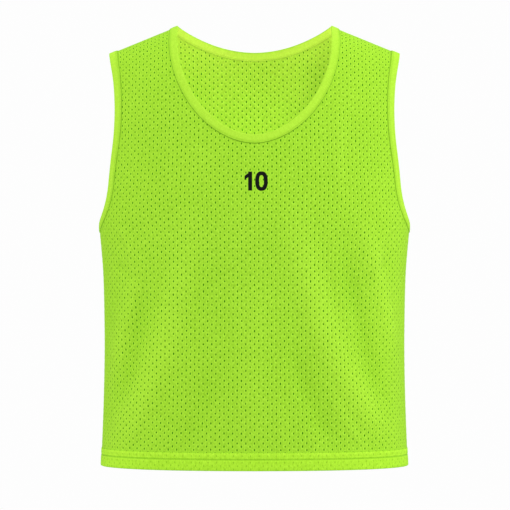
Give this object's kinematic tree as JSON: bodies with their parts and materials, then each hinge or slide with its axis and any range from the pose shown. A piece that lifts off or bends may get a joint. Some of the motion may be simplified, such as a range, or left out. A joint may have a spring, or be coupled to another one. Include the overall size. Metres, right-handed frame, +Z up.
{
  "type": "training bib",
  "caption": "Sleeveless mesh over-vest for team training, shown as worn, with a bound neck and armholes and a turned-up hem.",
  "frame": {"origin": "midway between the middles of the two shoulder seams, where the bib hangs on the shoulders", "axes": "+Z up the wearer, -Y out of the wearer's chest, +X towards the wearer's left"},
  "size_m": [0.4378, 0.2339, 0.6168],
  "materials": {
    "mesh_cloth": "matt knitted polyester net, bright green",
    "binding_tape": "matt knitted tape, bright green"
  },
  "bodies": {
    "root": {"front_panel": "mesh_cloth", "back_panel": "mesh_cloth", "neck_binding": "binding_tape", "left_armhole_binding": "binding_tape", "right_armhole_binding": "binding_tape"}
  },
  "joints": []
}
